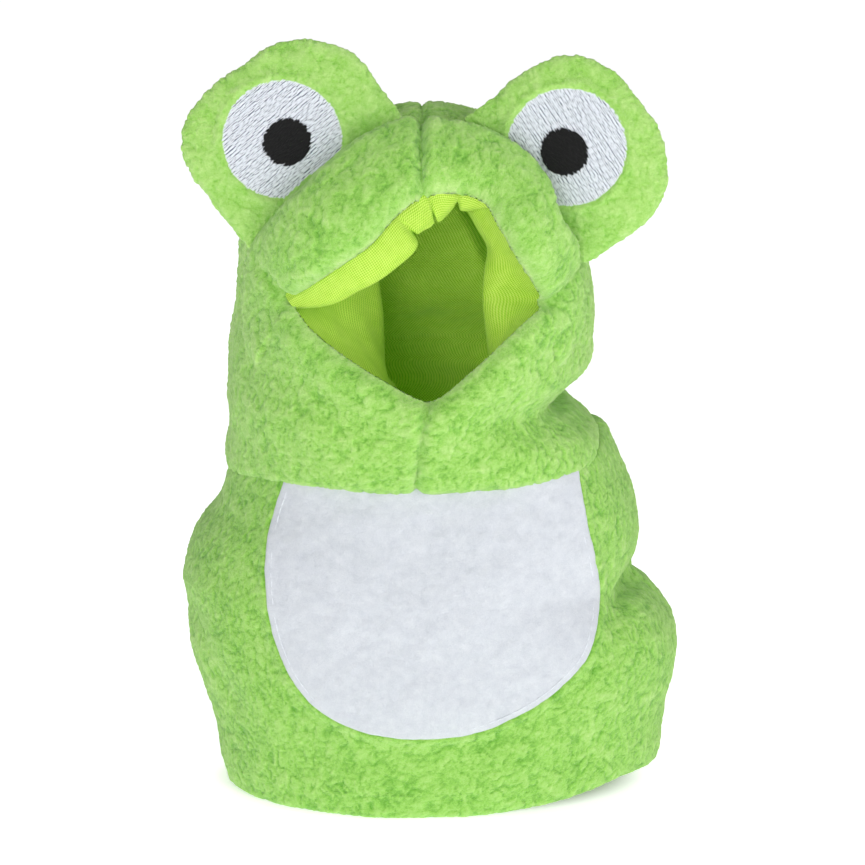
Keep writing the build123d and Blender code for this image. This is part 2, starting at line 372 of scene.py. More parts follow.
def texture(tree, place, scale, detail, **more):
    """Noise texture read at a place."""
    inputs = {"Vector": place, "Scale": scale, "Detail": detail}
    inputs.update({name.capitalize(): value for name, value in more.items()})
    return node(tree, "ShaderNodeTexNoise", inputs).outputs["Fac"]


def bumped(tree, height, strength, distance):
    inputs = {"Strength": strength, "Distance": distance, "Height": height}
    return node(tree, "ShaderNodeBump", inputs).outputs["Normal"]


def principled(tree, colour, roughness, normal, **more):
    """Principled shader; the further inputs are its sockets' names with _ for spaces."""
    inputs = {"Base Color": colour, "Roughness": roughness, "Normal": normal}
    inputs.update({name.replace("_", " "): value for name, value in more.items()})
    return node(tree, "ShaderNodeBsdfPrincipled", inputs).outputs["BSDF"]


def surface(material, tree, shader):
    node(tree, "ShaderNodeOutputMaterial", {"Surface": shader})
    return material


def fleece_material(name, deep, mid, light):
    """Curly pile, fuzzy: its creases are painted darker as painted shade, and its curls' tips lighter as
    painted light.
    """
    material, tree = new_material(name)
    rest, pile = attribute(tree, "rest", "Vector"), attribute(tree, "pile", "Fac")
    strands = texture(tree, rest, 2.3, 4.0, distortion=1.0)
    specks = texture(tree, rest, 0.95, 4.0, distortion=0.8)
    patches = texture(tree, rest, 0.08, 2.0)
    # colour follows the pile value: painted shade in the creases, painted light on the curls' tips
    tone = maths(tree, "SUBTRACT", maths(tree, "MULTIPLY", pile, 0.72), 0.27)
    for source, share in ((strands, 0.42), (specks, 0.3), (patches, 0.12)):
        tone = maths(tree, "MULTIPLY_ADD", source, share, tone)
    shader = principled(
        tree,
        colour_ramp(tree, tone, [(0.3, deep), (0.6, mid), (0.95, light)]),
        0.95,
        bumped(tree, strands, 0.8, 0.0007),
        Specular_IOR_Level=0.1,
        Sheen_Weight=0.3,
        Sheen_Roughness=0.5,
        Subsurface_Weight=0.2,
        Subsurface_Radius=(0.0012, 0.0018, 0.0006),
        Subsurface_Scale=1.0,
    )
    return surface(material, tree, shader)


def lining_material(deep, mid, light, painted_glow):
    """Plain weave in a dye, with a little painted glow on top; the cloth attribute holds millimetres along
    warp and weft.
    """
    material, tree = new_material("lime_lining_weave")
    cloth = attribute(tree, "cloth", "Vector")
    parts = node(tree, "ShaderNodeSeparateXYZ", {"Vector": cloth}).outputs
    turns = 2 * math.pi / WEAVE
    warp, weft = (maths(tree, "SINE", maths(tree, "MULTIPLY", parts[axis], turns)) for axis in "XY")
    weave = maths(tree, "MULTIPLY", warp, weft)
    slubs = maths(tree, "MULTIPLY_ADD", texture(tree, cloth, 0.35, 3.0), 0.3, 0.5)
    tone = maths(tree, "MULTIPLY_ADD", weave, 0.4, slubs)
    colour = colour_ramp(tree, tone, [(0.1, deep), (0.5, mid), (0.9, light)])
    shader = principled(
        tree,
        colour,
        0.55,
        bumped(tree, weave, 0.7, 0.00015),
        Specular_IOR_Level=0.35,
        Sheen_Weight=0.1,
        Sheen_Roughness=0.4,
        # painted glow: emission that brightens the lining as light would, though it is no lamp
        Emission_Color=(*painted_glow, 1),
        Emission_Strength=0.055,
    )
    through = node(tree, "ShaderNodeBsdfTranslucent", {"Color": colour}).outputs["BSDF"]
    both = node(tree, "ShaderNodeMixShader", {0: 0.1, 1: shader, 2: through}).outputs["Shader"]
    return surface(material, tree, both)


def felt_material(deep, mid, light):
    """Felt with brushed fibres over slow lumps."""
    material, tree = new_material("white_felt_brushed")
    rest = attribute(tree, "rest", "Vector")
    lumps = texture(tree, rest, 0.35, 5.0, roughness=0.65)
    fibres = texture(tree, rest, 2.6, 4.0, distortion=2.0)
    tone = maths(tree, "MULTIPLY_ADD", fibres, 0.6, maths(tree, "MULTIPLY", lumps, 0.5))
    height = maths(tree, "MULTIPLY_ADD", lumps, 1.2, fibres)
    shader = principled(
        tree,
        colour_ramp(tree, tone, [(0.3, deep), (0.55, mid), (0.8, light)]),
        0.95,
        bumped(tree, height, 0.5, 0.0006),
        Specular_IOR_Level=0.1,
        Sheen_Weight=0.2,
        Subsurface_Weight=0.15,
        Subsurface_Radius=(0.001, 0.001, 0.001),
    )
    return surface(material, tree, shader)


def thread_material(name, dark, light, roughness):
    """Embroidery thread: fine twisted strands along each stitch, with a soft sheen."""
    material, tree = new_material(name)
    strands = texture(tree, attribute(tree, "rest", "Vector"), 4.0, 2.0)
    shader = principled(
        tree,
        colour_ramp(tree, strands, [(0.3, dark), (0.7, light)]),
        roughness,
        bumped(tree, strands, 0.3, 0.0001),
        Specular_IOR_Level=0.25,
        Sheen_Weight=0.1,
    )
    return surface(material, tree, shader)


# fleece colours: the first is the painted shade of the creases, the last the painted light on the curls' tips
FLEECE = fleece_material("green_fleece_pile", srgb(95, 168, 44), srgb(155, 212, 95), srgb(196, 233, 143))
# the same fleece in darker, deeper greens for the facing turned inside the hem: painted shade
SHADED_FLEECE = fleece_material("green_fleece_turned_shaded", srgb(70, 150, 30), srgb(120, 190, 64), srgb(150, 210, 96))
# the last colour is the lining's painted glow
LINING = lining_material(srgb(112, 186, 10), srgb(178, 228, 54), srgb(220, 248, 116), srgb(150, 214, 30))
FELT = felt_material(srgb(194, 199, 208), srgb(211, 215, 222), srgb(226, 229, 234))
WHITE_THREAD = thread_material("white_embroidery", srgb(212, 217, 226), srgb(240, 243, 248), 0.5)
BLACK_THREAD = thread_material("black_embroidery", srgb(8, 8, 9), srgb(24, 24, 25), 0.8)
# dark grey-blue sheet under the white stitches: painted shade in the gaps between them
WHITE_GAP_SHADE = thread_material("white_embroidery_gap_shade", srgb(70, 78, 94), srgb(102, 112, 128), 0.8)
GREEN_THREAD = thread_material("green_sewing_thread", srgb(110, 170, 60), srgb(150, 205, 100), 0.6)


# ---- mesh pieces
def add_mesh(name, points, faces, material, **values):
    """A smooth mesh object from points in millimetres. Each further value is a point attribute."""
    mesh = bpy.data.meshes.new(name)
    faces = faces if isinstance(faces, list) else faces.tolist()
    mesh.from_pydata((np.asarray(points) * MM).tolist(), [], faces)
    mesh.polygons.foreach_set("use_smooth", np.ones(len(mesh.polygons), bool))
    for key, value in values.items():
        value = np.asarray(value, np.float32)
        kind, slot = ("FLOAT", "value") if value.ndim == 1 else ("FLOAT_VECTOR", "vector")
        mesh.attributes.new(key, kind, "POINT").data.foreach_set(slot, value.ravel())
    mesh.materials.append(material)
    made = bpy.data.objects.new(name, mesh)
    bpy.context.scene.collection.objects.link(made)
    return made


def cut_piece(name, points, faces, keep, material, **values):
    """The kept faces of a larger mesh as an object of its own."""
    faces = faces[keep]
    used, index = np.unique(faces, return_inverse=True)
    values = {key: np.asarray(value)[used] for key, value in values.items()}
    return add_mesh(name, points[used], index.reshape(faces.shape), material, **values)


def neck_seam(angle):
    """Height of the seam between hood and sleeve."""
    around = 50 * np.stack([np.sin(angle), np.cos(angle), 0 * angle], axis=-1)
    return hermite(np.degrees(angle), NECK_SEAM) + 0.7 * noise(around, 17, 15)


def neck_reach(angle):
    """How far the hood and the sleeve are from the middle at the neck seam."""
    height = neck_seam(angle)
    return [np.hypot(*oval(angle, s)) for s in (hood_sizes(height), hermite(height, BODY_SIZES))]


def neck_steps(angle):
    """How far the hood's edge and the sleeve's edge turn in at the neck seam, so that they meet in it."""
    reach = neck_reach(angle)
    return [SEAM_DEPTH + r - np.minimum(*reach) for r in reach]


def sleeve_head(angle):
    """Height of the sleeve's top edge: it goes up inside the hood's edge where the hood is the wider one."""
    hood_reach, sleeve_reach = neck_reach(angle)
    return neck_seam(angle) + 0.3 + 2.4 * ramp(hood_reach - sleeve_reach, -0.6, 0.6)


def columns(girth):
    """Angles of a grid's columns."""
    return np.linspace(-math.pi, math.pi, int(girth / GRID), endpoint=False)


# ---- hood
def hood_sizes(height):
    """Left, right, front and back extents of the hood's outside at a height, dome included."""
    height = np.asarray(height, float)
    low = hermite(np.minimum(height, DOME_BASE), HOOD_SIZES)
    share = np.clip((height - DOME_BASE) / DOME_RISE, 0, 0.99999)
    return low * np.sqrt(1 - share**2)[..., None]


def hood_base():
    """Grid of points on the undecorated hood, from the neck seam to the crown."""
    angle = columns(HOOD_STEPS)
    foot = neck_seam(angle)
    tube_rows = int((DOME_BASE - NECK_HEIGHT) / GRID)
    t = np.linspace(0, 1, tube_rows, endpoint=False)[:, None]
    heights = foot + t * (DOME_BASE - foot)
    lift = np.linspace(0, math.radians(89.7), int(1.5 * DOME_RISE / GRID))[:, None]
    heights = np.concatenate([heights, DOME_BASE + DOME_RISE * np.sin(lift) + 0 * angle])
    x, y = oval(np.broadcast_to(angle, heights.shape), hood_sizes(heights))
    return np.stack([x, y, heights], axis=-1), angle


def opening_outline(count=180):
    """The upper and the lower line of the face opening, as (x, height)."""
    top, foot = line_through(OPENING_TOP, count), line_through(OPENING_FOOT, count)
    return top, foot


def on_hood(flat):
    """The (x, height) points placed on the front of the undecorated hood."""
    return np.column_stack([flat[:, 0], front_y(flat[:, 0], hood_sizes(flat[:, 1])), flat[:, 1]])


def hood_pieces():
    """Both halves of the hood and of its brow, cut from one surface along their seams."""
    base, angle = hood_base()
    rows, cols = base.shape[:2]
    normals = grid_normals(base)
    flat = base.reshape(-1, 3)
    x, y, z = flat.T

    top, foot = opening_outline()
    loop = np.concatenate([top, foot[::-1][1:-1]])
    to_top, at_top = nearest(flat, on_hood(top))
    to_foot, _ = nearest(flat, on_hood(foot))
    gone = inside(x, z, loop) & (y < 0)
    edge = np.minimum(to_top, to_foot)

    # the brow: a roll above the opening, with the eyes' seam behind it
    share = at_top / (len(top) - 1)
    crest, proud = hermite(share, BROW).T
    above = (to_top <= to_foot + 0.5) & (y < 0)
    section = hermite(to_top / crest, BROW_SECTION)
    offset = np.where(above, section * proud, 0.0)
    belongs = above & (to_top < BROW_END * crest) & (share > 0.01) & (share < 0.99)

    # cheeks swell a little at the opening's lower edge
    offset += np.where(above, 0.0, 1.4 * groove(to_foot - 6, 5.0)) * (y < 0)
    # crease where the brow goes in behind each cheek
    for line in CHEEK_CREASES:
        spots = on_hood(line_through(line, 30))
        away, index = nearest(flat, spots)
        offset -= 2.4 * groove(away, 1.7) * (1 - index / 29) ** 0.7
    # fold across the right side, above the shoulder
    turn = np.degrees(np.arctan2(x, -y))
    offset -= 2.6 * ramp(turn, 35, 75) * (1 - ramp(turn, 120, 165)) * groove(z - SIDE_FOLD, 1.8)
    # centre seams: under the chin, over the brow, and over the crown to the back of the neck
    for line, count, depth, width in CENTRE_SEAMS:
        away, _ = nearest(flat, on_hood(line_through(line, count)))
        offset -= depth * groove(away, width) - 0.5 * groove(away - 3.2, 2.0)
    crown_seam = (y > -22) & (z > 100) | (y > 0)
    offset -= np.where(crown_seam, 1.3 * groove(x - SEAM_X * ramp(z, 150, 180), 1.1), 0)
    # slow folds of the soft fabric
    offset += 0.9 * noise(flat, 26, 8) + 0.5 * noise(flat, 13, 9)
    # rolled edges
    turned = RIM_DEPTH * (1 - np.clip(edge / RIM_RADIUS, 0, 1)) ** 2
    turned += rounding(z - np.tile(neck_seam(angle), rows), SEAM_RADIUS, np.tile(neck_steps(angle)[0], rows))
    body = flat + normals.reshape(-1, 3) * (offset - turned)[:, None]

    # the cut edge follows the outline exactly
    lines = np.concatenate([on_hood(top), on_hood(foot)])
    snap = gone & (edge < 1.5 * GRID)
    away, index = nearest(flat[snap], lines)
    body[snap] += lines[index] - flat[snap]

    shaped = body.reshape(rows, cols, 3)
    out = grid_normals(shaped).reshape(-1, 3)
    # pile raised at the opening's edge: the fleece stands a little higher there, and its colour is painted
    # lighter over the edge's shade
    pile = pile_height(body) + 0.25 * groove(edge, 1.4)
    calm = 1 - 0.75 * groove(edge, 1.2)
    skin = body + out * (PILE * (pile - PILE_MIDDLE) * calm)[:, None]
    skin[-cols:] = skin[-cols:].mean(axis=0)

    quads = grid_quads(rows, cols)
    usable = ~(gone & ~snap)[quads].any(axis=1) & ~snap[quads].all(axis=1)
    middle = np.where(y < -20, np.where(z > 150, -0.1 * (z - 166) * 0.15 - 1.0, -0.14 * (115 - z)), 0.0)
    right = (x > middle)[quads].sum(axis=1) >= 2
    brow = belongs[quads].sum(axis=1) >= 2
    values = {"pile": pile, "rest": body}
    made = {}
    for name, keep in {
        "hood_left": usable & ~right & ~brow,
        "hood_right": usable & right & ~brow,
        "brow_left": usable & ~right & brow,
        "brow_right": usable & right & brow,
    }.items():
        made[name] = cut_piece(name, skin, quads, keep, FLEECE, **values)
    return made


hood = hood_pieces()
for side in ("left", "right"):
    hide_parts(f"hood_{side}_panel")
    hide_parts(f"brow_band_{side}")


# ---- body
def body_surface(inset=0.0):
    """Grid of points on the sleeve without its pile, its angles, and the heights above its hem."""
    angle = columns(BODY_STEPS)
    foot = hermite(np.degrees(angle), HEM_HEIGHT)
    head = sleeve_head(angle)
    t = np.linspace(0, 1, int(NECK_HEIGHT / GRID))[:, None]
    heights = foot + t * (head - foot)
    x, y = oval(np.broadcast_to(angle, heights.shape), hermite(heights, BODY_SIZES), BODY_POWER)
    base = np.stack([x, y, heights], axis=-1)
    normals = grid_normals(base)
    flat = base.reshape(-1, 3)
    offset = 0.9 * noise(flat, 30, 21) + 0.5 * noise(flat, 14, 22)
    for line, depth, width in BODY_VALLEYS:
        away, _ = nearest(flat, line_through(line, 40))
        offset -= depth * groove(away, width)
    # side seams between the front and back panels
    offset -= 1.0 * groove(flat[:, 1], 1.0)
    from_foot = (heights - foot).ravel()
    from_head = (head - heights).ravel()
    rows = len(heights)
    if inset:
        turned = inset - rounding(from_foot, HEM_RADIUS, inset - HEM_RADIUS)
    else:
        turned = rounding(from_foot, HEM_RADIUS)
        turned += rounding(from_head, SEAM_RADIUS, np.tile(neck_steps(angle)[1], rows))
    shaped = flat + normals.reshape(-1, 3) * (offset - turned)[:, None]
    return shaped.reshape(base.shape), angle, from_foot


def body_pieces():
    """The sleeve's front and back, and a search tree of its surface for what is laid on it."""
    shaped, _, from_foot = body_surface()
    rows, cols = shaped.shape[:2]
    body = shaped.reshape(-1, 3)
    x, y, z = body.T
    outline = line_through(PATCH, 160)
    under = inside(x, z, outline) & (y < 0)
    away, _ = nearest(body[:, [0, 2]], outline)
    covered = np.where(under, ramp(away, 0.0, 1.6), 0.0)
    out = grid_normals(shaped).reshape(-1, 3)
    pile = pile_height(body)
    rise = PILE * 0.85 * (pile - PILE_MIDDLE) * (1 - 0.6 * groove(from_foot, 1.0)) * (1 - covered)
    edge_fluff = np.where(y < 0, 0.7 * groove(np.where(under, -away, away) - 0.6, 1.2), 0.0)
    skin = body + out * (rise + edge_fluff)[:, None]
    pile = np.clip(pile - 0.05, 0, 1)
    quads = grid_quads(rows, cols)
    front = (y < 0)[quads].sum(axis=1) >= 2
    values = {"pile": pile, "rest": body}
    made = {
        "body_front": cut_piece("body_front", skin, quads, front, FLEECE, **values),
        "body_back": cut_piece("body_back", skin, quads, ~front, FLEECE, **values),
    }
    return made, BVHTree.FromPolygons([Vector(p) for p in body], quads.tolist())


sleeve, body_tree = body_pieces()
for name, made in sleeve.items():
    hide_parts(f"{name}_panel")


def onto(tree, point, direction, reach=120.0):
    """Where a ray from far off the point, along the direction, meets the surface, and the normal there."""
    start = Vector(point) - reach * Vector(direction)
    spot, normal, _, _ = tree.ray_cast(start, Vector(direction))
    return spot, normal


def belly_patch():
    """Felt over the front of the sleeve, thin at its cut edge."""
    outline = line_through(PATCH, 320)
    top = line_through([PATCH[-1], (20, 92.2), (0, 91.6), (-20, 91.6), PATCH[0]], 100)
    outline = np.concatenate([outline, top[1:-1]])
    shares = 1 - np.linspace(0, 1, 75) ** 1.25
    points, normals = [], []
    for share in shares:
        for spot in PATCH_MIDDLE + share * (outline - PATCH_MIDDLE):
            place, normal = onto(body_tree, (spot[0], 0, spot[1]), (0, 1, 0))
            points.append(place)
            normals.append(normal)
    points, normals = np.array(points), np.array(normals)
    normals *= np.where(normals[:, 1:2] > 0, -1, 1)
    away, _ = nearest(points[:, [0, 2]], outline)
    away[: len(outline)] = 0
    height = FELT_THICKNESS - rounding(away, 1.0)
    for rise, size, seed in ((0.3, 6, 31), (0.16, 2.2, 32), (0.5, 22, 33)):
        height += rise * noise(points, size, seed)
    shaped = points + normals * height[:, None]
    return add_mesh("belly_patch", shaped, grid_quads(len(shares), len(outline)), FELT, rest=points)


patch = belly_patch()
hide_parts("belly_patch")


# ---- lining
# by height: y of the back, and how far out the sides are less LOOSE_SIDE
LINING_BACK = [(84, 38, 34), (92, 38, 34), (102, 38, 33), (112, 34, 31), (121, 26, 30), (131, 16, 29),
               (142, 9, 28), (155, 4, 26), (165, -2, 22), (173, -8, 16), (182, -14, 8)]
LOOSE_SIDE = 8
# free edges of the folds beside the opening: height, x, y
LEFT_FOLD = [(92, -34, -31), (98, -28, -28), (104, -21, -22), (112, -14.5, -13), (118, -12.4, -8),
             (126, -11.8, -7), (135, -12.3, -8), (146, -14.4, -11), (152, -17, -16), (160, -14, -24),
             (168, -12, -26), (176, -10, -22)]
RIGHT_FOLD = [(92, 30, -31), (98, 25, -31), (104, 20, -30), (112, 16, -28), (118, 15.5, -27),
              (126, 15.6, -26), (135, 14.6, -26), (146, 14.4, -26), (152, 14.7, -26), (158, 11.6, -27),
              (163, 8.6, -27), (168, 7.6, -26), (176, 7, -22)]
RECESS = [(140, 14), (150, 10.5), (160, 6), (168, 2.5)]  # height and x where the back hollows out
LINING_COUNT = 300  # points round the lining
RIM_LAP = 0.7  # how far the lining's rim lies in front of the fleece's turned edge


def oval_inner(angle, height, inset=WALL):
    """The lining's oval at a height: it hangs loose, away from the fleece at the back."""
    low = 3.4 * (1 - ramp(height, 95, 105)) + 4.0 * groove(height - SIDE_FOLD, 5)
    sizes = hood_sizes(height) - inset - low[:, None]
    loose = hermite(height, LINING_BACK)
    sides = [np.minimum(sizes[:, k], loose[:, 1] + LOOSE_SIDE) for k in (0, 1)]
    sizes = np.column_stack([*sides, sizes[:, 2], loose[:, 0]])
    return oval(angle, np.maximum(sizes, -20))


def rim_at(height, sign):
    """Where the lining leaves the opening's edge at a height, or the front's middle where it is closed."""
    top, foot = opening_outline()
    low, high = foot[:, 1].min(), top[:, 1].max()
    if height <= low or height >= high:
        return np.array([0.0 if height <= low else 4.0, -(hood_sizes(height)[2] - WALL)])
    corner = OPENING_TOP[0][1] if sign < 0 else OPENING_TOP[-1][1]
    line = foot if height < corner else top
    if sign > 0:
        half = line[line[:, 0] > (0 if height < corner else 4.0)]
    else:
        half = line[line[:, 0] < 4.0]
    order = np.argsort(half[:, 1])
    x = np.interp(height, half[order, 1], half[order, 0])
    x = np.clip(x, OPENING_TOP[0][0] + 0.8, OPENING_TOP[-1][0] - 0.8)
    deeper = 2.6 * groove(np.array(height - corner), 3.5)
    return np.array([x, front_y(x, hood_sizes(height)) + RIM_DEPTH - RIM_LAP + float(deeper)])


def lining_section(height, count):
    """The lining's line round the inside at a height, from the left edge of the opening to the right."""
    left, right = hermite(height, LEFT_FOLD), hermite(height, RIGHT_FOLD)
    closed = 1 - ramp(height, 97, 112) + ramp(height, 168, 180)
    back = np.radians([-82, -100, -125, -155, 180, 155, 125, 100, 82])
    ring = np.column_stack(oval_inner(back, np.full(len(back), float(height))))
    sides = []
    for sign, fold in ((-1, left), (1, right)):
        rim = rim_at(height, sign)
        steps = np.array([
            rim,
            rim * 0.62 + fold * 0.38 + [0, 1.5],
            rim * 0.2 + fold * 0.8 + [0, -0.4],
            fold,
            fold + [sign * 1.0, 4.5],
            fold * 0.45 + ring[0 if sign < 0 else -1] * 0.55 + [0, 1.0],
        ])
        angles = np.radians(sign * np.array([2, 14, 28, 42, 56, 70]))
        plain = np.column_stack(oval_inner(angles, np.full(6, float(height))))
        sides.append(steps * (1 - closed) + plain * closed)
    line = np.concatenate([sides[0], ring, sides[1][::-1]])
    return line_through(line, count)


def hood_lining():
    """Both halves of the hood's lining, with the folds that show in the face opening."""
    heights = np.arange(NECK_HEIGHT - 1, DOME_BASE + DOME_RISE - 8, 1.0)
    count = LINING_COUNT
    grid = np.zeros((len(heights), count, 3))
    for i, height in enumerate(heights):
        grid[i, :, :2] = lining_section(height, count)
        grid[i, :, 2] = height
    flat = grid.reshape(-1, 3)
    normals = grid_normals(grid, wrap=False).reshape(-1, 3)
    wrinkle = 1.3 * noise(flat * [1, 1, 0.3], 12, 41) + 0.35 * noise(flat * [1, 1, 0.4], 6, 42)
    edge = np.tile(np.minimum(np.arange(count), np.arange(count)[::-1]), len(heights))
    flat = flat + normals * (wrinkle * ramp(edge, 0, 18))[:, None]
    # it dips behind the lower lip, and hollows out beside the right fold
    dip = (0.6 + 4.4 * ramp(edge, 0, 6)) * (1 - ramp(edge, 20, 60))
    flat[:, 2] -= dip * (1 - ramp(flat[:, 2], 118, 138))
    flat[:, 2] -= 2.8 * (1 - ramp(edge, 6, 30)) * (1 - ramp(flat[:, 2], 115, 123))
    beside = flat[:, 0] - hermite(flat[:, 2], RECESS)
    level = ramp(flat[:, 2], 134, 146) * (1 - ramp(flat[:, 2], 166, 178))
    flat[:, 1] += np.where(edge > 0.3 * count, 13 * ramp(beside, 0, 7) * level, 0)
    along = np.cumsum(np.linalg.norm(np.diff(grid, axis=1, prepend=grid[:, :1]), axis=2), axis=1)
    along -= along[:, count // 2 : count // 2 + 1]
    cloth = np.column_stack([along.ravel(), flat[:, 2], np.zeros(len(flat))])
    quads = grid_quads(len(heights), count, wrap=False)
    right = (quads[:, 0] % count) >= count // 2
    halves = {"hood_lining_left": ~right, "hood_lining_right": right}
    return {name: cut_piece(name, flat, quads, keep, LINING, cloth=cloth) for name, keep in halves.items()}


# the rolled-out band of the lining: width and pleats along it, and its section as (share of the width, depth)
ROLL_WIDTH = [(0, 4.0), (0.1, 7.0), (0.27, 9.0), (0.42, 9.6), (0.53, 10.0), (0.565, 9.0), (0.58, 8.4),
              (0.66, 8.6), (0.72, 8.2), (0.76, 8.6), (0.81, 7.0), (0.845, 5.2), (0.87, 5.8),
              (0.93, 5.4), (1, 2.6)]
ROLL_PLEATS = [(0.57, 0.012), (0.722, 0.009), (0.852, 0.01)]
ROLL_SECTION = [(-1.6, 4.0), (0.0, 2.6), (0.28, 1.7), (0.6, 1.7), (0.88, 2.7), (1.0, 4.4), (0.93, 6.6),
                (0.6, 8.4), (0.0, 9.5)]


def lining_roll():
    """The lining's edge that rolls out below the brow, from the left corner to past the middle."""
    top, _ = opening_outline(240)
    part = top[2:164]
    places = on_hood(part)
    along = np.gradient(part, axis=0)
    along /= np.linalg.norm(along, axis=1)[:, None]
    inward = np.column_stack([along[:, 1], 0 * along[:, 0], -along[:, 0]])
    u = np.linspace(0, 1, len(part))
    pleat = sum(groove(u - place, width) for place, width in ROLL_PLEATS)
    width = hermite(u, ROLL_WIDTH) * (1 - 0.3 * pleat)
    depth = 1 - 0.9 * pleat - 0.6 * groove(u - 1, 0.02)
    depth += 0.5 * groove(u - 0.5, 0.06) + 0.4 * groove(u - 0.78, 0.03)
    section = line_through(ROLL_SECTION, 44)
    grid = np.zeros((len(section), len(part), 3))
    for k, (reach, back) in enumerate(section):
        grid[k] = places + inward * (width * reach if reach > 0 else np.full(len(part), reach))[:, None]
        grid[k, :, 1] += back * (0.55 + 0.45 * depth) + (1 - depth) * 1.6
    flat = grid.reshape(-1, 3)
    flat = flat + 0.35 * np.stack([noise(flat, 7, s) for s in (51, 52, 53)], axis=-1)
    steps = np.cumsum(np.linalg.norm(np.diff(grid, axis=1, prepend=grid[:, :1]), axis=2), axis=1)
    across = np.cumsum(np.linalg.norm(np.diff(grid, axis=0, prepend=grid[:1]), axis=2), axis=0)
    bias = 0.7 * np.stack([steps + across, steps - across, 0 * steps], axis=-1).reshape(-1, 3)
    quads = grid_quads(len(section), len(part), wrap=False)
    return add_mesh("hood_lining_roll", flat, quads, LINING, cloth=bias)


linings = hood_lining()
roll = lining_roll()
for name, made in linings.items():
    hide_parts(name)


def body_lining():
    """Front and back of the woven lining inside the sleeve, and the turned-up fleece of the hem below it."""
    shaped, angle, from_foot = body_surface(WALL)
    rows, cols = shaped.shape[:2]
    flat, out = shaped.reshape(-1, 3), grid_normals(shaped).reshape(-1, 3)
    turned = flat + out * (0.6 * noise(flat, 5, 62))[:, None]
    flat = flat - out * (0.8 + 0.8 * noise(flat * [1, 1, 0.4], 10, 61))[:, None]
    cloth = np.column_stack([np.tile(angle * 60, rows), flat[:, 2], np.zeros(len(flat))])
    quads = grid_quads(rows, cols)
    lined = (from_foot > HEM_TURNED - 1.5)[quads].all(axis=1)
    front = (flat[:, 1] < 0)[quads].sum(axis=1) >= 2
    facing = (from_foot < HEM_TURNED)[quads].all(axis=1)
    return (
        cut_piece("body_lining_front", flat, quads, lined & front, LINING, cloth=cloth),
        cut_piece("body_lining_back", flat, quads, lined & ~front, LINING, cloth=cloth),
        cut_piece("hem_facing", turned, quads, facing, SHADED_FLEECE, pile=pile_height(flat), rest=flat),
    )


lining_front, lining_back, facing = body_lining()
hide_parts("body_lining_front")
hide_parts("body_lining_back")
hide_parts("hem_facing")


# ---- stitches
def threads(name, paths, normals, width, lift, material, ends=0.35):
    """Each path is one stitch: a flattened thread that dips into the fabric at both ends."""
    paths, normals = np.asarray(paths, float), np.asarray(normals, float)
    count, steps = paths.shape[:2]
    along = np.gradient(paths, axis=1)
    along /= np.maximum(np.linalg.norm(along, axis=2, keepdims=True), 1e-9)
    side = np.cross(along, normals)
    side /= np.maximum(np.linalg.norm(side, axis=2, keepdims=True), 1e-9)
    t = np.linspace(0, 1, steps)
    swell = np.sin(math.pi * np.clip(t, 0, 1)) ** 0.4
    arch = np.linspace(0, math.pi, 6)
    across, up = -np.cos(arch) * width / 2, np.sin(arch) * lift
    points = (
        paths[:, :, None]
        + side[:, :, None] * (across[None, None, :, None] * (ends + (1 - ends) * swell)[None, :, None, None])
        + normals[:, :, None] * (up[None, None, :, None] * swell[None, :, None, None] - 0.12)
    )
    one = grid_quads(steps, len(arch), wrap=False)
    faces = (one[None] + (np.arange(count) * steps * len(arch))[:, None, None]).reshape(-1, 4)
    flat = points.reshape(-1, 3)
    return add_mesh(name, flat, faces, material, rest=flat)


HEM_STITCHES = 110  # round the hem
PATCH_INSET = 1.9  # of the patch's stitches from its edge


def hem_stitches():
    """Short stitches round the sleeve above the hem."""
    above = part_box("hem_stitching")[0].z / MM + 0.5
    paths, normals = [], []
    for turn in np.linspace(-math.pi, math.pi, HEM_STITCHES, endpoint=False):
        path, out = [], []
        for a in turn + np.linspace(-0.36, 0.36, 7) * 2 * math.pi / HEM_STITCHES:
            inward = Vector((-math.sin(a), math.cos(a), 0))
            place, normal = onto(body_tree, (0, 0, above + hermite(np.degrees(a), HEM_HEIGHT)), inward)
            normal = normal if normal.dot(inward) < 0 else -normal
            path.append(place + 0.1 * normal)
            out.append(normal)
        paths.append(path)
        normals.append(out)
    return threads("hem_stitches", paths, normals, 0.5, 0.4, GREEN_THREAD)


def patch_stitches():
    """Stitches sunk into the felt, along its sides and foot."""
    outline = line_through(PATCH, 400)
    slope = np.gradient(outline, axis=0)
    slope /= np.linalg.norm(slope, axis=1)[:, None]
    inner = outline + PATCH_INSET * np.column_stack([-slope[:, 1], slope[:, 0]])
    paths, normals = [], []
    steps = 6
    for start in range(4, len(inner) - steps - 4, 5):
        path, out = [], []
        for spot in inner[start : start + steps]:
            place, normal = onto(body_tree, (spot[0], 0, spot[1]), (0, 1, 0))
            normal = normal if normal.y < 0 else -normal
            path.append(place + 1.1 * normal)
            out.append(normal)
        paths.append(path)
        normals.append(out)
    return threads("patch_stitches", paths, normals, 0.3, 0.25, WHITE_THREAD)


hem_sewing = hem_stitches()
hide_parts("hem_stitching")
patch_sewing = patch_stitches()
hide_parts("belly_patch_stitching")


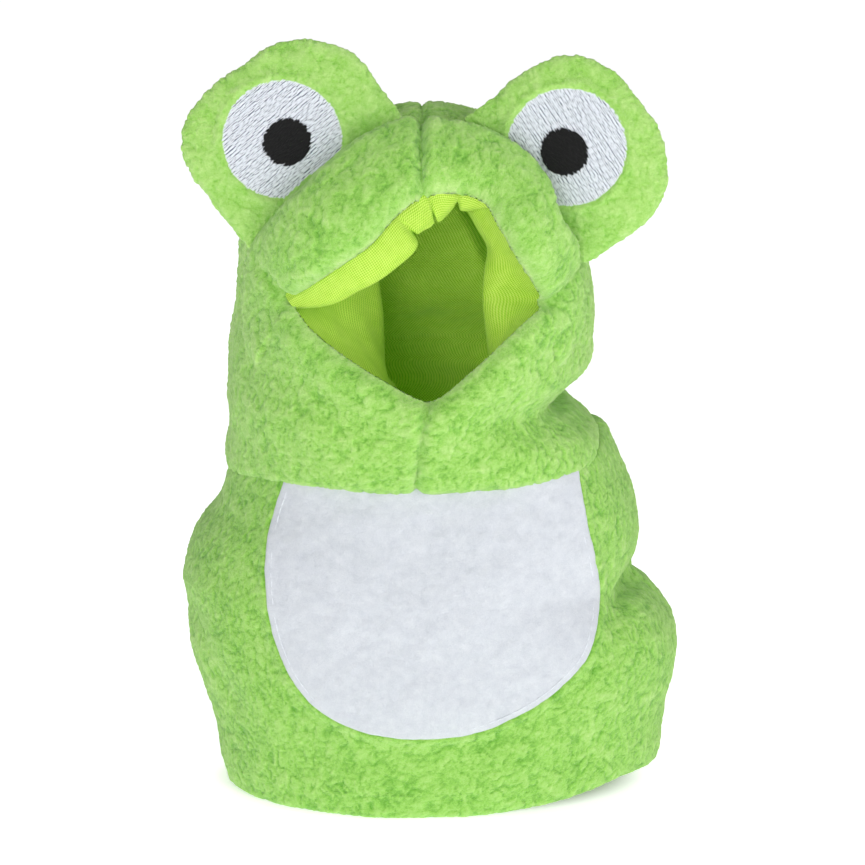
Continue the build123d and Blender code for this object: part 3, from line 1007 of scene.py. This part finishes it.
def neck_binding():
    """Rolled seam allowance inside the neck."""
    around, across = 160, 12
    angle = np.linspace(-math.pi, math.pi, around, endpoint=False)
    x, y = oval(angle, hood_sizes(np.full(around, NECK_HEIGHT + 1)) - WALL - 2.0)
    ring = np.column_stack([x, y, neck_seam(angle) * 0.5 + NECK_HEIGHT * 0.5])
    out = np.column_stack([x, y, 0 * x])
    out /= np.linalg.norm(out, axis=1)[:, None]
    turn = np.linspace(0, 2 * math.pi, across, endpoint=False)
    radius = 1.7 + 0.25 * noise(ring, 6, 71)
    grid = ring[None] + out[None] * (np.cos(turn)[:, None] * radius)[..., None]
    grid[..., 2] += np.sin(turn)[:, None] * radius
    flat = grid.reshape(-1, 3)
    faces = grid_quads(across + 1, around) % len(flat)
    cloth = np.column_stack([np.tile(angle * 45, across), np.repeat(turn * 2, around), np.zeros(len(flat))])
    return add_mesh("neck_binding", flat, faces, LINING, cloth=cloth)


binding = neck_binding()
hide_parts("neck_seam_binding")


# ---- eyes
def eye_frame(side):
    """Origin on the seam, and the directions along the seam, away from it, and out of the eye's face."""
    joint = JOINTS[f"{side}_eye_flop"]
    origin = np.array(joint["pos_m"]) / MM
    along = np.array(joint["axis"], float)
    face = np.array([0.0, -1.0, 0.0])
    away = np.cross(along, face)
    away *= np.sign(away[2])
    return origin, along, away, face


def place_in(eye, flat):
    """Points given as (along, away, out) in the eye's frame, in the row frame."""
    origin, along, away, face = eye
    flat = np.asarray(flat, float)
    return origin + flat[..., :1] * along + flat[..., 1:2] * away + flat[..., 2:] * face


def to_eye(eye, points):
    """Points of the row frame as (along, away, out) in the eye's frame."""
    origin, *axes = eye
    return (np.asarray(points, float) - origin) @ np.array(axes).T


def vectors(mesh, name):
    """The mesh's points ("co") or their normals ("normal")."""
    found = np.zeros(3 * len(mesh.vertices), np.float32)
    mesh.vertices.foreach_get(name, found)
    return found.reshape(-1, 3).astype(float)


def inflate(made, held, pressure, frames, cap, scale=8.0):
    """Fills a pad by cloth simulation: pressure inside and no gravity, with its base held in the seam."""
    rest = vectors(made.data, "co")
    group = made.vertex_groups.new(name="held")
    for index, weight in enumerate(held):
        if weight > 0:
            group.add([index], float(weight), "REPLACE")
    made.scale = (scale,) * 3
    bpy.context.view_layer.update()
    cloth = made.modifiers.new("Cloth", "CLOTH")
    cloth.settings.quality = 6
    cloth.settings.mass = 0.3
    cloth.settings.use_pressure = True
    cloth.settings.uniform_pressure_force = pressure
    cloth.settings.tension_stiffness = 25
    cloth.settings.compression_stiffness = 25
    cloth.settings.bending_stiffness = 1.5
    cloth.settings.vertex_group_mass = "held"
    cloth.settings.effector_weights.gravity = 0
    cloth.point_cache.frame_start, cloth.point_cache.frame_end = 1, frames
    for step in range(1, frames + 1):
        bpy.context.scene.frame_set(step)
    shown = made.evaluated_get(bpy.context.evaluated_depsgraph_get())
    blown = vectors(shown.to_mesh(), "co")
    shown.to_mesh_clear()
    made.modifiers.remove(cloth)
    made.scale = (1, 1, 1)
    bpy.context.scene.frame_set(1)
    move = blown - rest
    size = np.linalg.norm(move, axis=1, keepdims=True)
    return rest + move * np.minimum(1, cap / np.maximum(size, 1e-12))


def pad_layers(side):
    """The eye's front and back fabric as flat triangles that share their sewn edge."""
    outline = line_through(EYE_OUTLINES[side], 70)
    outline = EYE_MIDDLE + DRAWN_IN * (outline - EYE_MIDDLE)
    across = np.arange(-30, 31, 2.0)
    inner = np.array([(x + (k % 2), y) for k, y in enumerate(np.arange(-8, 36, 1.75)) for x in across])
    away, _ = nearest(inner, line_through(np.vstack([outline, outline[:1]]), 300))
    inner = inner[inside(inner[:, 0], inner[:, 1], outline) & (away > 1.4)]
    flat = np.concatenate([outline, inner])
    rim = len(outline)
    verts, _, tris, *_ = delaunay_2d_cdt([Vector(p) for p in flat], [], [list(range(rim))], 1, 1e-6)
    flat = np.array(verts)
    away, _ = nearest(flat, line_through(np.vstack([outline, outline[:1]]), 600))
    full = 2.2 * np.sqrt(1 - (1 - np.clip(away / 8, 0, 1)) ** 2) * (0.35 + 0.65 * ramp(flat[:, 1], -6, 6))
    front = np.column_stack([flat, full])
    back = np.column_stack([flat[rim:], -full[rim:]])
    other = np.arange(len(flat))
    other[rim:] += len(flat) - rim
    faces = [tuple(t) for t in tris] + [tuple(int(other[k]) for k in reversed(t)) for t in tris]
    return np.concatenate([front, back]), faces


def subdivided(name, points, faces, levels):
    """Points and quads after smooth subdivision."""
    coarse = add_mesh(name, points, faces, FLEECE)
    made = coarse.modifiers.new("Subdivision", "SUBSURF")
    made.levels = made.render_levels = levels
    shown = coarse.evaluated_get(bpy.context.evaluated_depsgraph_get())
    mesh = shown.to_mesh()
    fine, normals = vectors(mesh, "co") / MM, vectors(mesh, "normal")
    quads = np.array([tuple(p.vertices) for p in mesh.polygons])
    shown.to_mesh_clear()
    bpy.data.objects.remove(coarse)
    return fine, normals, quads


def eye_pad(side):
    """Padded eye, two layers of fleece sewn round the edge and filled, and its search tree."""
    eye = eye_frame(side)
    layers, faces = pad_layers(side)
    placed = place_in(eye, layers)
    soft = add_mesh(f"eye_{side}_blank", placed, faces, FLEECE)
    held = 1 - ramp(layers[:, 1], -5.0, 2.0)
    blown = inflate(soft, held, PAD_PRESSURE, PAD_FRAMES, PAD_CAP * MM) / MM
    bpy.data.objects.remove(soft)
    fine, normals, quads = subdivided(f"eye_{side}_blank", blown, faces, 2)
    fine = fine + normals * (0.35 * noise(fine, 9, 81))[:, None]
    local = to_eye(eye, fine)
    bare = np.hypot(*(local[:, :2] - EYE_WHITE[side]).T) - WHITE_RADIUS
    covered = np.where(local[:, 2] > 0, 1 - ramp(bare, -1.2, 0.2), 0)
    fluff = np.where(local[:, 2] > 0, 0.6 * groove(bare - 0.9, 1.1), 0)
    pile = pile_height(fine)
    curled = PILE * 0.7 * (pile - PILE_MIDDLE) * (1 - covered)
    skin = fine + normals * (curled + fluff - 0.3 * covered)[:, None]
    pile = 0.6 + 0.8 * (pile - PILE_MIDDLE)
    tree = BVHTree.FromPolygons([Vector(p) for p in fine], quads.tolist())
    return add_mesh(f"eye_{side}_pad", skin, quads, FLEECE, pile=pile, rest=fine), tree


def embroidery(side, tree):
    """The white in rows of short stitches, the pupil over it, and a disc under each: painted shade under the
    white, black under the pupil.
    """
    eye = eye_frame(side)
    pick = np.random.default_rng(5 if side == "left" else 6)
    inward = tuple(-eye[3])

    def laid(spots, lift):
        """Points and normals on the pad above spots given in the eye's frame; None where the pad ends."""
        points, normals = [], []
        for spot in spots:
            place, normal = onto(tree, place_in(eye, [*spot, 0.0]), inward, 40)
            if place is None:
                return None
            normal = normal if normal.dot(Vector(inward)) < 0 else -normal
            points.append(np.array(place) + lift * np.array(normal))
            normals.append(np.array(normal))
        return points, normals

    def rows(centre, radius, pitch, length, lift, ragged, steps=5, lap=0.08, least=0.8):
        """Stitches in a disc. Ragged: how far a row's ends may stand out; lap: how far stitches overlap."""
        paths, outs = [], []
        run = np.array([math.cos(turn), math.sin(turn)])
        step = np.array([-run[1], run[0]])
        for v in np.arange(-radius + pitch / 2, radius, pitch):
            half = math.sqrt(max(radius**2 - v**2, 0))
            low, high = -half - ragged * pick.random(), half + ragged * pick.random()
            ends = np.arange(-40 + length * pick.random(), 40, length)
            cuts = [low, *ends[(ends > low + least) & (ends < high - least)], high]
            for a, b in zip(cuts[:-1], cuts[1:]):
                wobble = np.linspace(*(0.08 * pick.normal(size=2)), steps)
                along = np.linspace(a - lap, b + lap, steps)
                spots = [centre + (v + w) * step + u * run for u, w in zip(along, wobble)]
                if min(s[1] for s in spots) < -4.5:
                    continue
                found = laid(spots, lift + 0.05 * pick.random())
                if found:
                    paths.append(found[0])
                    outs.append(found[1])
        return paths, outs

    turn = math.radians(STITCH_TURN[side])
    white = rows(EYE_WHITE[side], WHITE_RADIUS, 0.42, 1.9, 0.16, 0.7)
    white = threads(f"eye_{side}_white", *white, 0.4, 0.3, WHITE_THREAD, 0.55)
    # dark disc under the white stitches: painted shade between them
    below = disc(EYE_WHITE[side], 0.985 * WHITE_RADIUS, laid, 0.06)
    gap_shade = add_mesh(f"eye_{side}_underlay", *below, WHITE_GAP_SHADE, rest=below[0])
    pupil = rows(EYE_PUPIL[side], PUPIL_RADIUS, 0.3, 2.6, 0.5, 0.8)
    pupil = threads(f"eye_{side}_pupil", *pupil, 0.52, 0.4, BLACK_THREAD)
    below = disc(EYE_PUPIL[side], 0.93 * PUPIL_RADIUS, laid, 0.55)
    pupil_base = add_mesh(f"eye_{side}_pupil_base", *below, BLACK_THREAD, rest=below[0])
    return white, gap_shade, pupil, pupil_base


def disc(centre, radius, laid, lift, rings=14, around=72):
    """A flat disc on the eye, seen only between the stitches over it: painted shade under the white, the
    pupil's black under the pupil.
    """
    turn = np.linspace(0, 2 * math.pi, around, endpoint=False)
    reach = radius * np.linspace(0.02, 1, rings)[:, None]
    x, y = centre[0] + reach * np.cos(turn), centre[1] + reach * np.sin(turn)
    points, _ = laid(np.column_stack([x.ravel(), np.maximum(y, -3.5).ravel()]), lift)
    return np.array(points), grid_quads(rings, around)[:, ::-1].tolist() + [list(range(around))[::-1]]


for side in ("left", "right"):
    pad, tree = eye_pad(side)
    white, gap_shade, pupil, pupil_base = embroidery(side, tree)
    origin, _, away, _ = eye_frame(side)
    for made, slot in (
        (pad, "green_fleece"),
        (white, "white_thread"),
        (gap_shade, "white_thread"),
        (pupil, "black_thread"),
        (pupil_base, "black_thread"),
    ):
        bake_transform(made)
    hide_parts(f"eye_{side}_front", f"eye_{side}_back", f"eye_{side}_stuffing")
    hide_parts(f"eye_{side}_white")
    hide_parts(f"eye_{side}_pupil")

# ---- what moves with what: the pieces' transforms are baked, and the neck binding goes with the neck
for made in (*sleeve.values(), patch, patch_sewing, hem_sewing, lining_front, lining_back, facing):
    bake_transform(made)
for made in (*hood.values(), *linings.values(), roll):
    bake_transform(made)
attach(binding, "neck")

# ---- studio
TARGET = Vector((1.2, 0.0, 96.8)) * MM
ELEVATION, DISTANCE, LENS = math.radians(13), 0.908, 140


def stage_material():
    """Pale floor that glows, but hardly inside the sleeve's foot."""
    material, tree = new_material("studio_floor")
    paper = node(tree, "ShaderNodeTexNoise", {"Scale": 30.0, "Detail": 2.0}).outputs["Fac"]
    place = node(tree, "ShaderNodeNewGeometry").outputs["Position"]
    foot = (1 / (0.8 * cad_box[1][0]), 1 / (0.7 * cad_box[1][1]), 0)
    across = node(tree, "ShaderNodeVectorMath", {0: place, 1: foot}, operation="MULTIPLY").outputs["Vector"]
    away = node(tree, "ShaderNodeVectorMath", {0: across}, operation="LENGTH").outputs["Value"]
    lit = node(
        tree,
        "ShaderNodeMapRange",
        {"Value": away, "From Min": 0.9, "From Max": 1.1, "To Min": 0.1, "To Max": 0.72},
    ).outputs["Result"]
    colour = colour_ramp(tree, paper, [(0.0, (0.93, 0.93, 0.93)), (1.0, (0.95, 0.95, 0.95))])
    inputs = {"Base Color": colour, "Roughness": 0.9, "Emission Color": (1, 1, 1, 1)}
    inputs["Emission Strength"] = lit
    return surface(material, tree, node(tree, "ShaderNodeBsdfPrincipled", inputs).outputs["BSDF"])


FLOOR_REACH = 9000
corners = [(x * FLOOR_REACH, y * FLOOR_REACH, 0) for x, y in ((-1, -1), (1, -1), (1, 1), (-1, 1))]
floor = add_mesh("floor", corners, [(0, 1, 2, 3)], stage_material())


def area_light(name, place, size, power):
    light = bpy.data.lights.new(name, "AREA")
    light.size, light.energy = size, power
    made = bpy.data.objects.new(name, light)
    made.location = place
    made.rotation_euler = (TARGET - Vector(place)).to_track_quat("-Z", "Y").to_euler()
    bpy.context.scene.collection.objects.link(made)


area_light("key", (1.1, -0.9, 0.7), 0.8, 6.4)
area_light("front", (-0.3, -1.45, 0.36), 0.5, 7.0)
area_light("side", (1.4, -0.35, 0.2), 0.8, 1.8)
area_light("top", (-0.1, 0.2, 1.4), 1.0, 2.8)

world = bpy.data.worlds.new("studio")
bpy.context.scene.world = world
world.use_nodes = True
background = world.node_tree.nodes["Background"].inputs
background["Color"].default_value = (1, 1, 1, 1)
background["Strength"].default_value = 0.29

view = bpy.data.cameras.new("camera")
view.lens, view.sensor_width = LENS, 36
view.clip_start, view.clip_end = 0.05, 50
camera = bpy.data.objects.new("camera", view)
camera.location = TARGET + DISTANCE * Vector((0, -math.cos(ELEVATION), math.sin(ELEVATION)))
camera.rotation_euler = (TARGET - camera.location).to_track_quat("-Z", "Y").to_euler()
bpy.context.scene.collection.objects.link(camera)
bpy.context.scene.camera = camera
bpy.context.scene.view_settings.view_transform = "Standard"
